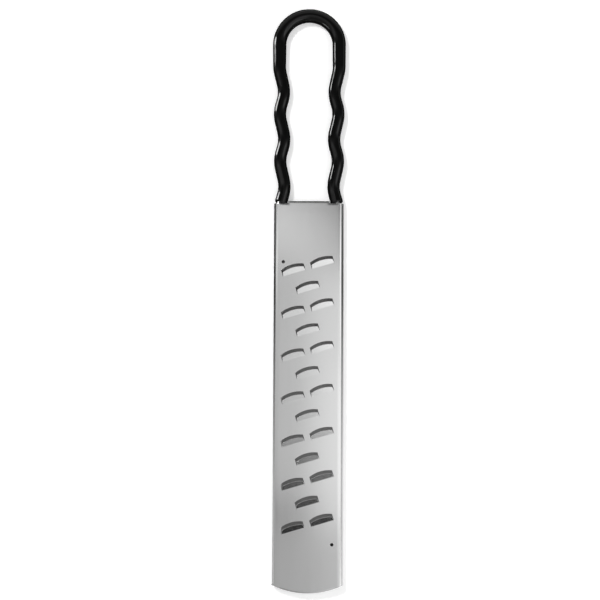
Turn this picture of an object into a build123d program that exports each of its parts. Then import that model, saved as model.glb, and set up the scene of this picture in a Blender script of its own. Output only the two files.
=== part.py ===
from build123d import *
import math
import os

# Rasp zester: a pressed stainless blade with two rolled edges, a bent wire frame whose legs run
# inside those rolls, and a dipped vinyl grip over the stretch of the wire that forms the handle.
# Millimetres and degrees. +X is across the blade, +Y runs from the tip towards the handle, and
# +Z leaves the cutting face. A height above the blade's handle edge, along Y, is called a rise.

os.makedirs("parts", exist_ok=True)

# Driving dimensions of the blade sheet
blade_width = 41.6
blade_length = 231.7
sheet_thickness = 0.5
tip_radius = 48.5

# Driving dimensions of the wire and of the roll that is pressed round it
wire_diameter = 4.5
wire_clearance = 0.1
wire_end_setback = 5.0
wire_end_chamfer = 0.5
roll_wrap_angle = 250
roll_mouth_past_bend = 3.5

# The corners of the handle edge are cut back, so that the ends of the grip nest in them
corner_cut_depth = 1.3
corner_cut_gap = 0.3
corner_cut_round = 0.5

# Driving dimensions of the cutting teeth: rows of two, with a single tooth between the rows.
# The two slots of a row fill the plate between the rolls, less a land at each end and a web.
tooth_pitch = 25.4
last_row_from_tip = 38.3
handle_end_land = 38.0
pair_rise = 4.5
tooth_tilt = 16.5
slot_end_land = 1.6
slot_web = 3.8
slot_side = 3.7
slot_crown = 1.4
tooth_end_gap = 1.2
tooth_side_gap = 0.35
tooth_angle = 27
fold_radius = 0.8
cutting_bevel = 0.3

# Driving dimensions of the two pilot holes, one beyond each end of the toothed field
pilot_hole_diameter = 2.0
upper_pilot_from_edge = 36.6
upper_pilot_left_offset = 15.1
lower_pilot_from_tip = 28.2
lower_pilot_right_offset = 14.1

# Driving dimensions of the bends in one leg of the handle. Corners are where straight runs meet.
neck_count = 3
first_neck_rise = 8.8
first_neck_inset = 3.8
leg_splay = 0.27
wave_corner_depth = 3.77
wave_pitch = 28.8
swell_place_share = 0.56
wave_bend_radius = 19.0
roll_entry_bend_radius = 25.0
arch_flare = 3.3
arch_entry_bend_radius = 20.0
arch_straight = 13.0

# Driving dimensions of the grip: the coating is thickest round the arch, which is dipped first
grip_clearance = 0.05
grip_leg_wall = 1.45
grip_arch_wall = 1.85
grip_end_round_share = 0.5

# The roll, from the wire outwards
overrun = sheet_thickness
wire_radius = wire_diameter / 2
roll_inner_radius = wire_radius + wire_clearance
roll_outer_radius = roll_inner_radius + sheet_thickness
roll_x = blade_width / 2 - roll_outer_radius

# The grip's outer radii on the legs and on the arch
grip_bore_radius = wire_radius + grip_clearance
grip_leg_radius = grip_bore_radius + grip_leg_wall
grip_arch_radius = grip_bore_radius + grip_arch_wall

# Corners of the right leg's centre line as (X, rise) pairs, and the radius of each bend
wave_out_slope = wave_corner_depth / (wave_pitch * swell_place_share)
wave_in_slope = (wave_corner_depth - leg_splay) / (wave_pitch * (1 - swell_place_share))
roll_entry_rise = first_neck_rise - first_neck_inset / wave_in_slope
roll_entry_tangent = roll_entry_bend_radius * math.tan(math.atan(wave_in_slope) / 2)
roll_mouth_length = roll_mouth_past_bend + max(0, roll_entry_tangent - roll_entry_rise)
last_neck_rise = first_neck_rise + (neck_count - 1) * wave_pitch
first_neck_corner_x = roll_x - first_neck_inset
arch_radius = first_neck_corner_x + (neck_count - 1) * leg_splay + arch_flare
arch_entry_rise = last_neck_rise + arch_flare / wave_out_slope
arch_entry_tangent = arch_entry_bend_radius * math.tan(math.atan(wave_out_slope) / 2)
taper_start_rise = arch_entry_rise + arch_entry_tangent
arch_centre_rise = taper_start_rise + arch_straight

# Places along Y and Z. The origin is the middle of the part's box, on the surface it lies on.
handle_rise = arch_centre_rise + arch_radius + grip_arch_radius
tip_y = -(blade_length + handle_rise) / 2
edge_y = tip_y + blade_length
arch_y = edge_y + arch_centre_rise
taper_y = edge_y + taper_start_rise
wire_z = grip_arch_radius
plate_top_z = wire_z + roll_outer_radius
plate_bottom_z = plate_top_z - sheet_thickness


def tip_arc_y(x):
    """Y of the tip's arc at a distance x from the blade's centre line."""
    return tip_y + tip_radius - math.sqrt(tip_radius**2 - x**2)


wire_end_y = tip_arc_y(blade_width / 2) + wire_end_setback


def leg_corners():
    """Corner points of the right leg's centre line, from its end in the roll to the straight."""
    corners = [(roll_x, wire_end_y), (roll_x, edge_y + roll_entry_rise)]
    for number in range(neck_count):
        neck_x = first_neck_corner_x + number * leg_splay
        neck_y = edge_y + first_neck_rise + number * wave_pitch
        corners.append((neck_x, neck_y))
        if number < neck_count - 1:
            swell_y = neck_y + wave_pitch * swell_place_share
            corners.append((neck_x + wave_corner_depth, swell_y))
    corners.append((arch_radius, edge_y + arch_entry_rise))
    return corners


def leg_bend_radii():
    """One bend radius for each corner of a leg that has a run on both sides."""
    wave_corners = 2 * neck_count - 1
    return [roll_entry_bend_radius] + [wave_bend_radius] * wave_corners + [arch_entry_bend_radius]


# The centre lines lie in one level plane: a leg up to the taper, and the arch between the legs
wire_plane = Plane.XY.offset(wire_z)
right_leg_points = leg_corners() + [(arch_radius, taper_y)]
with BuildLine(wire_plane) as right_leg:
    FilletPolyline(*right_leg_points, radius=leg_bend_radii())
with BuildLine(wire_plane) as arch:
    ThreePointArc((arch_radius, arch_y), (0, arch_y + arch_radius), (-arch_radius, arch_y))

# Planes square to the centre line, where round sections are drawn
wire_end_plane = Plane(origin=(roll_x, wire_end_y, wire_z), z_dir=(0, 1, 0))
taper_plane = Plane(origin=(arch_radius, taper_y, wire_z), z_dir=(0, 1, 0))
arch_plane = Plane(origin=(arch_radius, arch_y, wire_z), z_dir=(0, 1, 0))


# Wire frame: one round wire from end to end, both cut ends chamfered
with BuildPart() as handle_wire:
    with BuildSketch(wire_end_plane):
        Circle(wire_radius)
    sweep(path=right_leg.line)
    with BuildSketch(taper_plane):
        Circle(wire_radius)
    extrude(amount=arch_straight)
    cut_end = handle_wire.faces().sort_by(Axis.Y)[0]
    chamfer(cut_end.edges(), length=wire_end_chamfer)
    mirror(about=Plane.YZ)
    with BuildSketch(arch_plane):
        Circle(wire_radius)
    sweep(path=arch.line)
handle_wire.part.label = "handle_wire"


# The stretch that the grip covers, made as a body that is cut from the grip's solid
with BuildPart() as grip_bore:
    with BuildSketch(wire_end_plane):
        Circle(grip_bore_radius)
    sweep(path=right_leg.line)
    with BuildSketch(taper_plane):
        Circle(grip_bore_radius)
    extrude(amount=arch_straight)
    mirror(about=Plane.YZ)
    with BuildSketch(arch_plane):
        Circle(grip_bore_radius)
    sweep(path=arch.line)

# Grip: legs of one diameter, a cone on each straight, and a thicker arch, cut square at its ends
grip_end_y = edge_y - corner_cut_depth + corner_cut_gap
with BuildPart() as grip_coating:
    with BuildSketch(wire_end_plane):
        Circle(grip_leg_radius)
    sweep(path=right_leg.line)
    split(bisect_by=Plane.XZ.offset(-grip_end_y), keep=Keep.BOTTOM)
    grip_end = grip_coating.faces().sort_by(Axis.Y)[0]
    fillet(grip_end.edges(), radius=grip_leg_wall * grip_end_round_share)
    with BuildSketch(taper_plane):
        Circle(grip_leg_radius)
    with BuildSketch(arch_plane):
        Circle(grip_arch_radius)
    loft()
    mirror(about=Plane.YZ)
    with BuildSketch(arch_plane):
        Circle(grip_arch_radius)
    sweep(path=arch.line)
    add(grip_bore.part, mode=Mode.SUBTRACT)
grip_coating.part.label = "grip_coating"


# A slot's width is measured along its tilted fold line, and a column runs through fold middles
tilt_sin = math.sin(math.radians(tooth_tilt))
tilt_cos = math.cos(math.radians(tooth_tilt))
slot_span_x = roll_x - slot_end_land - slot_side * tilt_sin - slot_web / 2
slot_width = slot_span_x / tilt_cos
column_x = (slot_web + slot_span_x) / 2
pair_rows = 1 + int((blade_length - last_row_from_tip - handle_end_land) / tooth_pitch)

# One tooth, about the middle of its fold line on the plate's top: a bend, then a flat tongue with
# a curved free edge. The section is drawn square to the fold and carried across the tooth.
tongue_width = slot_width - 2 * tooth_side_gap
fold_arc_length = (fold_radius + sheet_thickness / 2) * math.radians(tooth_angle)
tongue_middle_length = slot_side + slot_crown - tooth_end_gap - fold_arc_length
tongue_side_length = tongue_middle_length - slot_crown
tongue_rise_sin = math.sin(math.radians(tooth_angle))
tongue_rise_cos = math.cos(math.radians(tooth_angle))
fold_end = (fold_radius * tongue_rise_sin, fold_radius * (1 - tongue_rise_cos))
tongue_plane = Plane(
    origin=(0, fold_end[0], fold_end[1]),
    x_dir=(1, 0, 0),
    z_dir=(0, -tongue_rise_sin, tongue_rise_cos),
)
with BuildPart() as tooth:
    with BuildSketch(Plane.YZ.offset(-tongue_width / 2)):
        with BuildLine():
            bend_centre = (0, fold_radius)
            top_bend = CenterArc(bend_centre, fold_radius, -90, tooth_angle)
            bottom_bend = CenterArc(bend_centre, fold_radius + sheet_thickness, -90, tooth_angle)
            tongue_top = PolarLine(top_bend @ 1, tongue_middle_length + overrun, tooth_angle)
            tongue_bottom = PolarLine(bottom_bend @ 1, tongue_middle_length + overrun, tooth_angle)
            Line(tongue_top @ 1, tongue_bottom @ 1)
            Line(top_bend @ 0, bottom_bend @ 0)
        make_face()
    extrude(amount=tongue_width)
    with BuildSketch(tongue_plane):
        with BuildLine():
            half_width = tongue_width / 2
            back = -(fold_radius + sheet_thickness)
            right_side = Line((half_width, back), (half_width, tongue_side_length))
            left_side = Line((-half_width, tongue_side_length), (-half_width, back))
            ThreePointArc(right_side @ 1, (0, tongue_middle_length), left_side @ 0)
            Line(left_side @ 1, right_side @ 0)
        make_face()
    extrude(amount=fold_radius + sheet_thickness, both=True, mode=Mode.INTERSECT)
    free_edge_face = tooth.faces().sort_by(Axis.Y)[-1]
    chamfer(free_edge_face.edges().sort_by(Axis.Z)[0], length=cutting_bevel)


def tooth_places(height):
    """Fold-line middles of all teeth: pairs on two columns, and singles half a pitch between."""
    spots = []
    for row in range(pair_rows):
        row_y = tip_y + last_row_from_tip + row * tooth_pitch
        spots.append((-column_x, row_y - pair_rise / 2))
        spots.append((column_x, row_y + pair_rise / 2))
        if row < pair_rows - 1:
            spots.append((0, row_y + tooth_pitch / 2))
    return [Location((x, y, height), (0, 0, tooth_tilt)) for x, y in spots]


# The slot that a tooth is cut from: a straight fold line, two short sides and a crowned end
with BuildSketch() as tooth_slot:
    with BuildLine():
        slot_base = Line((-slot_width / 2, 0), (slot_width / 2, 0))
        slot_right = Line(slot_base @ 1, (slot_width / 2, slot_side))
        slot_left = Line((-slot_width / 2, slot_side), slot_base @ 0)
        ThreePointArc(slot_right @ 1, (0, slot_side + slot_crown), slot_left @ 0)
    make_face()


def roll_point(side, radius, angle):
    """A point of a roll's section, its angle counted from straight up, turning outwards."""
    turn = math.radians(angle)
    return (side * (roll_x + radius * math.sin(turn)), wire_z + radius * math.cos(turn))


def roll_section(side):
    """Draws one roll: the outer arc, the sheet's edge and the inner arc."""
    half_wrap = roll_wrap_angle / 2
    outer_end = roll_point(side, roll_outer_radius, roll_wrap_angle)
    inner_end = roll_point(side, roll_inner_radius, roll_wrap_angle)
    outer_middle = roll_point(side, roll_outer_radius, half_wrap)
    inner_middle = roll_point(side, roll_inner_radius, half_wrap)
    ThreePointArc((side * roll_x, plate_top_z), outer_middle, outer_end)
    Line(outer_end, inner_end)
    ThreePointArc(inner_end, inner_middle, (side * roll_x, plate_bottom_z))


# The blade's outline seen from above reaches past the sheet at the sides, where nothing is cut
outline_x = blade_width / 2 + overrun
leg_x_at_edge = roll_x + roll_entry_rise * wave_in_slope
corner_cut_x = leg_x_at_edge - grip_leg_radius - corner_cut_gap
corner_cut_y = edge_y - corner_cut_depth
outline_points = [
    (-outline_x, tip_arc_y(outline_x)),
    (-outline_x, corner_cut_y),
    (-corner_cut_x, corner_cut_y),
    (-corner_cut_x, edge_y),
    (corner_cut_x, edge_y),
    (corner_cut_x, corner_cut_y),
    (outline_x, corner_cut_y),
    (outline_x, tip_arc_y(outline_x)),
]
pilot_places = [
    (-upper_pilot_left_offset, edge_y - upper_pilot_from_edge),
    (lower_pilot_right_offset, tip_y + lower_pilot_from_tip),
]

# Blade: the rolled section drawn at the handle edge and carried to the tip, then cut to outline
with BuildPart() as blade:
    with BuildSketch(Plane.XZ.offset(-edge_y)):
        with BuildLine():
            Line((-roll_x, plate_top_z), (roll_x, plate_top_z))
            Line((-roll_x, plate_bottom_z), (roll_x, plate_bottom_z))
            roll_section(1)
            roll_section(-1)
        make_face()
    extrude(amount=blade_length)
    # The outline trims the tip to its arc and takes the corners off the handle edge
    with BuildSketch() as outline:
        with BuildLine():
            Polyline(*outline_points)
            ThreePointArc(outline_points[0], (0, tip_y), outline_points[-1])
        make_face()
        fillet(outline.vertices().filter_by_position(Axis.X, -roll_x, roll_x), corner_cut_round)
    extrude(amount=plate_top_z + overrun, mode=Mode.INTERSECT)
    # The mouth of each roll stays open on its inner side, where the wire slants in
    mouth_size = roll_outer_radius + overrun
    mouth_x = roll_x - mouth_size / 2
    with BuildSketch(Plane.XZ.offset(-edge_y)):
        with Locations((mouth_x, wire_z - mouth_size / 2), (-mouth_x, wire_z - mouth_size / 2)):
            Rectangle(mouth_size, mouth_size)
    extrude(amount=roll_mouth_length, mode=Mode.SUBTRACT)
    # Tooth slots, then the teeth that stand in them
    with BuildSketch(Plane.XY.offset(plate_top_z)):
        with Locations(*tooth_places(0)):
            add(tooth_slot.sketch)
    extrude(amount=sheet_thickness + overrun, both=True, mode=Mode.SUBTRACT)
    with Locations(*tooth_places(plate_top_z)):
        add(tooth.part)
    with Locations(*[(x, y, plate_top_z) for x, y in pilot_places]):
        Hole(pilot_hole_diameter / 2, depth=sheet_thickness + overrun)
blade.part.label = "blade"

for piece in (blade, handle_wire, grip_coating):
    export_step(piece.part, f"parts/{piece.part.label}.step")
    print(piece.part.label, "volume", round(piece.part.volume, 1), piece.part.bounding_box())
print("tip", tip_y, "handle edge", edge_y, "arch centre", arch_y, "plate top", plate_top_z)
print("roll centres", roll_x, "tooth columns", column_x, "slot width", slot_width, "rows", pair_rows)
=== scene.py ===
# %% [markdown]
# # Dressing a rasp zester
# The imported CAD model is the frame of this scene: a pressed blade, a bent wire and a vinyl grip.
# Its meshes are made for measuring, so their rolled edges and round wires show flat facets up
# close. Each piece is built again here as a smooth surface in the same place, and then gets the
# finish of the real thing. The first cell loads the frame and keeps the size of its box, which
# nothing built later may leave.

# %% Load the frame
import math

import bpy
import numpy as np
from mathutils import Matrix, Vector
from mathutils.geometry import delaunay_2d_cdt


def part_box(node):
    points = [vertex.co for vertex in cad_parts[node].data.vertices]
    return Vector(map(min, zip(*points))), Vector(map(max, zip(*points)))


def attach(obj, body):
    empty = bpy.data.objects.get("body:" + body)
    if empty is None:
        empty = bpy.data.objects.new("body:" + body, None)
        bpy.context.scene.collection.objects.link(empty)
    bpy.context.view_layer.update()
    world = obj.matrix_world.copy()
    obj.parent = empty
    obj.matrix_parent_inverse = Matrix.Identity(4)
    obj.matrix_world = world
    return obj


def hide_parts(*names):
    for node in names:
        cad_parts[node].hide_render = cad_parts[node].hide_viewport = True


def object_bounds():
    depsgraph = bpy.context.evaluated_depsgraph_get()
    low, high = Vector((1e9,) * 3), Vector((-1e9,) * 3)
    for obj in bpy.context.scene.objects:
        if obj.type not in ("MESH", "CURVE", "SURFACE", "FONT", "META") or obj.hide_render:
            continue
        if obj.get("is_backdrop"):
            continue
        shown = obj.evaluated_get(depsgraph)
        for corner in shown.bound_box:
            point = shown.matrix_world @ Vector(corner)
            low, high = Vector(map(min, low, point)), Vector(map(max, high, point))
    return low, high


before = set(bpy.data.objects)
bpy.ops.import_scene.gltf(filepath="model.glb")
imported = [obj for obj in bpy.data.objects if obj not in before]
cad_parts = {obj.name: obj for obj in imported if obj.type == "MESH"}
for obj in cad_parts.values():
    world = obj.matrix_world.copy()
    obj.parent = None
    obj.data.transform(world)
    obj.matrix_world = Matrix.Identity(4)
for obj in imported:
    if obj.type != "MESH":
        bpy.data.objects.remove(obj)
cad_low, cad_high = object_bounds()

MM = 0.001
print("frame", [round(v / MM, 2) for v in cad_high - cad_low], "mm, pieces", sorted(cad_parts))

# %% [markdown]
# ## The sizes that everything follows
# A press tool is drawn from a few sizes, and so is this scene. The blade's two ends come from the
# frame. The sheet's thickness, the wire's diameter and the roll of the edge decide the rest of its
# section, and the rows of teeth are stepped along it at one pitch.

# %% Sizes of the sheet, the wire and the roll
SHEET = 0.5 * MM
WIRE_RADIUS = 2.25 * MM
WIRE_CLEARANCE = 0.1 * MM
ROLL_RADIUS = WIRE_RADIUS + WIRE_CLEARANCE + SHEET
ROLL_WRAP = math.radians(250)
ROLL_WRAP_AT_MOUTH = math.radians(180)
MOUTH_LENGTH = 11.86 * MM
HALF_WIDTH = 20.8 * MM
TIP_RADIUS = 48.5 * MM
CORNER_CUT = 1.3 * MM
CORNER_ROUND = 0.5 * MM
WIRE_Z = 4.15 * MM

blade_low, blade_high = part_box("blade")
TIP_Y, EDGE_Y = blade_low.y, blade_high.y
ROLL_X = HALF_WIDTH - ROLL_RADIUS
PLATE_Z = WIRE_Z + ROLL_RADIUS
CUT_X = 12.53 * MM
print("blade from", round(TIP_Y / MM, 2), "to", round(EDGE_Y / MM, 2), "plate at", round(PLATE_Z / MM, 2))

# %% Sizes of the teeth
TOOTH_PITCH = 25.4 * MM
LAST_ROW = 38.15 * MM
PAIR_RISE = 4.5 * MM
COLUMN_X = 8.6 * MM
TOOTH_TILT = math.radians(16.5)
TOOTH_ANGLE = math.radians(27)
SLOT_HALF = 6.9875 * MM
SLOT_SIDE = 3.95 * MM
SLOT_CROWN = 1.4 * MM
SLIT_AT_CORNER = 0.55 * MM
SLIT_AT_FOLD = 0.12 * MM
TONGUE_HALF = SLOT_HALF - SLIT_AT_CORNER
TONGUE_AT_FOLD = SLOT_HALF - SLIT_AT_FOLD
FOLD_RADIUS = 0.45 * MM
FOLD_LENGTH = FOLD_RADIUS * TOOTH_ANGLE
TONGUE_PAST_FOLD = 2.03 * MM
TONGUE_SIDE = TONGUE_PAST_FOLD + FOLD_LENGTH
PAIR_ROWS = 7

rows = TIP_Y + LAST_ROW + TOOTH_PITCH * np.arange(PAIR_ROWS)
lefts = np.column_stack([np.full(PAIR_ROWS, -COLUMN_X), rows - PAIR_RISE / 2])
rights = np.column_stack([np.full(PAIR_ROWS, COLUMN_X), rows + PAIR_RISE / 2])
singles = np.column_stack([np.zeros(PAIR_ROWS - 1), rows[:-1] + TOOTH_PITCH / 2])
TEETH = np.vstack([lefts, rights, singles])
print(len(TEETH), "teeth, rows at", np.round(rows / MM, 1))

# %% [markdown]
# ## From arrays to a mesh
# A surface that is worked out with numpy is an array of points and an array of faces. One helper
# puts both into a mesh, shades it smooth, keeps the edges sharp where two faces meet at more than
# a given angle, and makes the piece ride on the frame's only body.

# %% A helper that makes a piece
BODY = "root"


def make_piece(name, points, faces, sharp_angle, node):
    """Puts points and faces into a mesh that rides on the body and stands for a frame node."""
    mesh = bpy.data.meshes.new(name)
    mesh.from_pydata(points.tolist(), [], faces)
    mesh.validate()
    mesh.set_sharp_from_angle(angle=sharp_angle)
    piece = bpy.data.objects.new(name, mesh)
    bpy.context.scene.collection.objects.link(piece)
    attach(piece, BODY)
    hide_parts(node)
    print(name, len(mesh.vertices), "points", len(mesh.polygons), "faces")
    return piece

# %% [markdown]
# ## The blade as a flat blank
# The real blade starts as a flat piece of stainless sheet. A press cuts its outline, its slots and
# its two pilot holes, and only then bends the teeth up and rolls the long edges round the wire.
# The mesh is made in the same order. A blank is laid out flat, in u across and y along, and
# triangles fill it between its cut lines. Then one formula bends every point of it into place.
# Cutting slots out of a finished solid with booleans would also work, but it leaves ragged
# triangles where the reflections of the steel would show them.

# %% How far the roll takes a point of the blank
BLANK_HALF = ROLL_X + ROLL_RADIUS * ROLL_WRAP
BLANK_HALF_AT_MOUTH = ROLL_X + ROLL_RADIUS * ROLL_WRAP_AT_MOUTH


def rolled_x(u):
    """X of a blank point after rolling: u on the plate, then a sine of the angle round the roll."""
    angle = np.maximum(np.abs(u) - ROLL_X, 0) / ROLL_RADIUS
    return np.sign(u) * (np.minimum(np.abs(u), ROLL_X) + ROLL_RADIUS * np.sin(angle))


def tip_line(u):
    """Y of the cut tip: a circle's arc, seen from above, so it follows the rolled X."""
    return TIP_Y + TIP_RADIUS - np.sqrt(TIP_RADIUS**2 - rolled_x(u) ** 2)


def spaced(start, end, step):
    """Even steps from start to end, both included, no wider than a given step."""
    return np.linspace(start, end, int(np.ceil(abs(end - start) / step - 1e-6)) + 1)


print("blank is", round(2 * BLANK_HALF / MM, 1), "mm wide")

# %% The cut outline of the blank
PLATE_STEP = 1.0 * MM
ROLL_STEP = 0.3 * MM
ROUND_STEPS = 7


def across(half, y_of_u):
    """One row of the blank from u = 0 to a half width, with finer steps round the roll."""
    u = np.r_[spaced(0, ROLL_X, PLATE_STEP)[:-1], spaced(ROLL_X, half, ROLL_STEP)]
    return np.column_stack([u, y_of_u(u)])


def corner_arc(centre, start, end):
    """A quarter turn of the corner's round about its centre, from a start to an end angle."""
    angle = np.linspace(start, end, ROUND_STEPS)
    return np.asarray(centre) + CORNER_ROUND * np.column_stack([np.cos(angle), np.sin(angle)])


def blank_outline():
    """The right half, from the middle of the tip up the side to the middle of the edge."""
    cut_y, mouth_y = EDGE_Y - CORNER_CUT, EDGE_Y - MOUTH_LENGTH
    tip = across(BLANK_HALF, tip_line)
    side_y = spaced(tip[-1, 1], mouth_y, PLATE_STEP)[1:]
    side = np.column_stack([np.full(len(side_y), BLANK_HALF), side_y])
    step_u = spaced(BLANK_HALF, BLANK_HALF_AT_MOUTH, ROLL_STEP)[1:]
    step = np.column_stack([step_u, np.full(len(step_u), mouth_y)])
    mouth_side_y = spaced(mouth_y, cut_y, PLATE_STEP)[1:]
    mouth_side = np.column_stack([np.full(len(mouth_side_y), BLANK_HALF_AT_MOUTH), mouth_side_y])
    shoulder = across(BLANK_HALF_AT_MOUTH, lambda u: np.full(len(u), cut_y))[::-1][1:]
    shoulder = shoulder[shoulder[:, 0] > CUT_X + CORNER_ROUND]
    inner = corner_arc((CUT_X + CORNER_ROUND, cut_y + CORNER_ROUND), -math.pi / 2, -math.pi)
    outer = corner_arc((CUT_X - CORNER_ROUND, EDGE_Y - CORNER_ROUND), 0, math.pi / 2)
    top_u = spaced(CUT_X - CORNER_ROUND, 0, PLATE_STEP)[1:-1]
    top = np.column_stack([top_u, np.full(len(top_u), EDGE_Y)])
    return np.vstack([tip[1:], side, step, mouth_side, shoulder, inner, outer, top])


right_outline = blank_outline()
middle_tip, middle_edge = np.array([[0, TIP_Y]]), np.array([[0, EDGE_Y]])
left_outline = right_outline[::-1] * [-1, 1]
outline = np.vstack([middle_tip, right_outline, middle_edge, left_outline])
print("outline has", len(outline), "points")

# %% The shape of one slot and one tongue
SLOT_COLUMNS = 25
SIDE_STEP = 0.35 * MM
FOLD_POINTS = 6


def crowned(s, side):
    """Length of a slot or tongue at a distance s from its middle: a side and a circle's cap."""
    cap_radius = (SLOT_HALF**2 + SLOT_CROWN**2) / (2 * SLOT_CROWN)
    return side + np.sqrt(cap_radius**2 - s**2) - (cap_radius - SLOT_CROWN)


def tongue_half(t):
    """Half width of the tongue: it narrows evenly from the fold line to its free corners."""
    return TONGUE_AT_FOLD + (TONGUE_HALF - TONGUE_AT_FOLD) * np.clip(t / TONGUE_SIDE, 0, 1)


fold_rows = FOLD_LENGTH * np.linspace(0, 1, FOLD_POINTS)
tongue_rows = np.r_[fold_rows, spaced(FOLD_LENGTH, TONGUE_SIDE, SIDE_STEP)[1:]]
slot_s = np.linspace(-SLOT_HALF, SLOT_HALF, SLOT_COLUMNS)
slot_top = np.column_stack([slot_s, crowned(slot_s, SLOT_SIDE)])
slot_side = spaced(0, SLOT_SIDE, SIDE_STEP)[:-1]
left_wall = np.column_stack([np.full(len(slot_side), -SLOT_HALF), slot_side])
tongue_s = np.linspace(-TONGUE_HALF, TONGUE_HALF, SLOT_COLUMNS)
tongue_top = np.column_stack([tongue_s, crowned(tongue_s, TONGUE_SIDE)])
tongue_wall = np.column_stack([-tongue_half(tongue_rows), tongue_rows])[:-1]
mirror_s = np.array([-1, 1])
gap_loop = np.vstack([
    left_wall, slot_top, left_wall[::-1] * mirror_s,
    tongue_wall * mirror_s, tongue_top[::-1], tongue_wall[::-1],
])
print("each gap round a tongue has", len(gap_loop), "points")

# %% Points that fill the tongue and ring the slot
INNER_SHARE = 0.94
CAP_SHARES = (0.3, 0.62, 0.86)
RING_DISTANCES = (0.25 * MM, 0.7 * MM)
RING_STEP = 0.5 * MM


def tongue_filling():
    """Rows of points across the tongue: one at each step of its side, and three in its cap."""
    inner_s = np.linspace(-INNER_SHARE, INNER_SHARE, SLOT_COLUMNS)
    filled = [np.column_stack([inner_s * tongue_half(t), np.full(SLOT_COLUMNS, t)]) for t in tongue_rows]
    cap_s = inner_s * TONGUE_HALF
    cap = crowned(cap_s, TONGUE_SIDE) - TONGUE_SIDE
    return filled + [np.column_stack([cap_s, TONGUE_SIDE + share * cap]) for share in CAP_SHARES]


def ring_round_slot(distance):
    """Points at a distance outside the slot: below its fold line, past its cap and at its sides."""
    s = np.linspace(-SLOT_HALF - distance, SLOT_HALF + distance, SLOT_COLUMNS + 2)
    past_cap = crowned(np.clip(s, -SLOT_HALF, SLOT_HALF), SLOT_SIDE) + distance
    side_t = spaced(0, SLOT_SIDE, RING_STEP)
    side = np.column_stack([np.full(len(side_t), SLOT_HALF + distance), side_t])
    below = np.column_stack([s, np.full(len(s), -distance)])
    return [below, np.column_stack([s, past_cap]), side, side * mirror_s]


rings = [points for distance in RING_DISTANCES for points in ring_round_slot(distance)]
tooth_filling = np.vstack(tongue_filling() + rings)
print("each tooth is filled by", len(tooth_filling), "points")

# %% Move between the blank and one tooth's own axes
tilt_s = np.array([math.cos(TOOTH_TILT), math.sin(TOOTH_TILT)])
tilt_t = np.array([-math.sin(TOOTH_TILT), math.cos(TOOTH_TILT)])


def to_blank(local):
    """Copies points from a tooth's axes, s along its fold and t across it, to all the teeth."""
    turned = local[:, :1] * tilt_s + local[:, 1:] * tilt_t
    return TEETH[:, None, :] + turned[None, :, :]


def to_nearest_tooth(points):
    """The s and t of each point in the axes of the tooth whose fold middle is nearest."""
    away = points[:, None, :] - TEETH[None, :, :]
    nearest = np.argmin((away**2).sum(axis=2), axis=1)
    offset = away[np.arange(len(points)), nearest]
    return offset @ tilt_s, offset @ tilt_t


print("teeth step along", np.round(tilt_s, 3), "and", np.round(tilt_t, 3))

# %% What lies near a cut
PILOT_RADIUS = 1.0 * MM
PILOTS = np.array([[-15.1 * MM, EDGE_Y - 36.6 * MM], [14.1 * MM, TIP_Y + 28.2 * MM]])


def in_slot(s, t, margin=0):
    """Whether points lie inside a slot that is made wider by a margin all round."""
    cap = crowned(np.clip(s, -SLOT_HALF, SLOT_HALF), SLOT_SIDE)
    return (np.abs(s) < SLOT_HALF + margin) & (t > -margin) & (t < cap + margin)


def in_tongue(s, t, margin=0):
    """Whether points lie between a tongue's sides and short of its cap, with a margin."""
    cap = crowned(np.clip(s, -TONGUE_HALF, TONGUE_HALF), TONGUE_SIDE)
    return (np.abs(s) < tongue_half(t) + margin) & (t < cap + margin)


def in_hole(points, radius):
    """Whether points lie within a radius of the middle of either pilot hole."""
    away = points[:, None, :] - PILOTS[None, :, :]
    return (np.hypot(away[..., 0], away[..., 1]) < radius).any(axis=1)


print("pilot holes at", np.round(PILOTS / MM, 1).tolist())

# %% A grid over the blank, clear of every cut
CLEAR_OF_CUTS = 0.45 * MM
CLEAR_OF_ROWS = 0.2 * MM
RIM_SHARE = 1.35
edge_rows = np.array([0.12, 0.28, 0.48, 0.72, 1.0, 1.35]) * MM

u_lines = np.r_[
    -spaced(ROLL_X, BLANK_HALF, ROLL_STEP)[:0:-1],
    spaced(-ROLL_X, ROLL_X, PLATE_STEP),
    spaced(ROLL_X, BLANK_HALF, ROLL_STEP)[1:],
]
y_lines = spaced(TIP_Y, EDGE_Y, PLATE_STEP)
grid = np.stack(np.meshgrid(u_lines, y_lines, indexing="ij"), axis=-1).reshape(-1, 2)
grid_u, grid_y = grid.T
top_limit = np.where(np.abs(grid_u) > CUT_X - CLEAR_OF_CUTS, EDGE_Y - CORNER_CUT, EDGE_Y)
past_tip = grid_y > tip_line(grid_u) + edge_rows[-1] + CLEAR_OF_ROWS
below_top = grid_y < top_limit - edge_rows[-1] - CLEAR_OF_ROWS
at_mouth = grid_y > EDGE_Y - MOUTH_LENGTH - CLEAR_OF_CUTS
past_mouth_side = at_mouth & (np.abs(grid_u) > BLANK_HALF_AT_MOUTH - ROLL_STEP / 2)
inside = past_tip & below_top & ~past_mouth_side & (np.abs(grid_u) < BLANK_HALF - ROLL_STEP / 2)
near_slot = in_slot(*to_nearest_tooth(grid), RING_DISTANCES[-1] + CLEAR_OF_CUTS)
near_hole = in_hole(grid, RIM_SHARE * PILOT_RADIUS + CLEAR_OF_CUTS)
grid = grid[inside & ~near_slot & ~near_hole]
print(len(grid), "grid points are clear of the cuts")

# %% Fill the blank with points
HOLE_POINTS = 28
CLEAR_OF_CORNER = 0.3 * MM


def rows_below(u, y, distances):
    """Rows of points that follow a cut line at given distances below it, or above if negative."""
    return [np.column_stack([u, y - distance]) for distance in distances]


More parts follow.
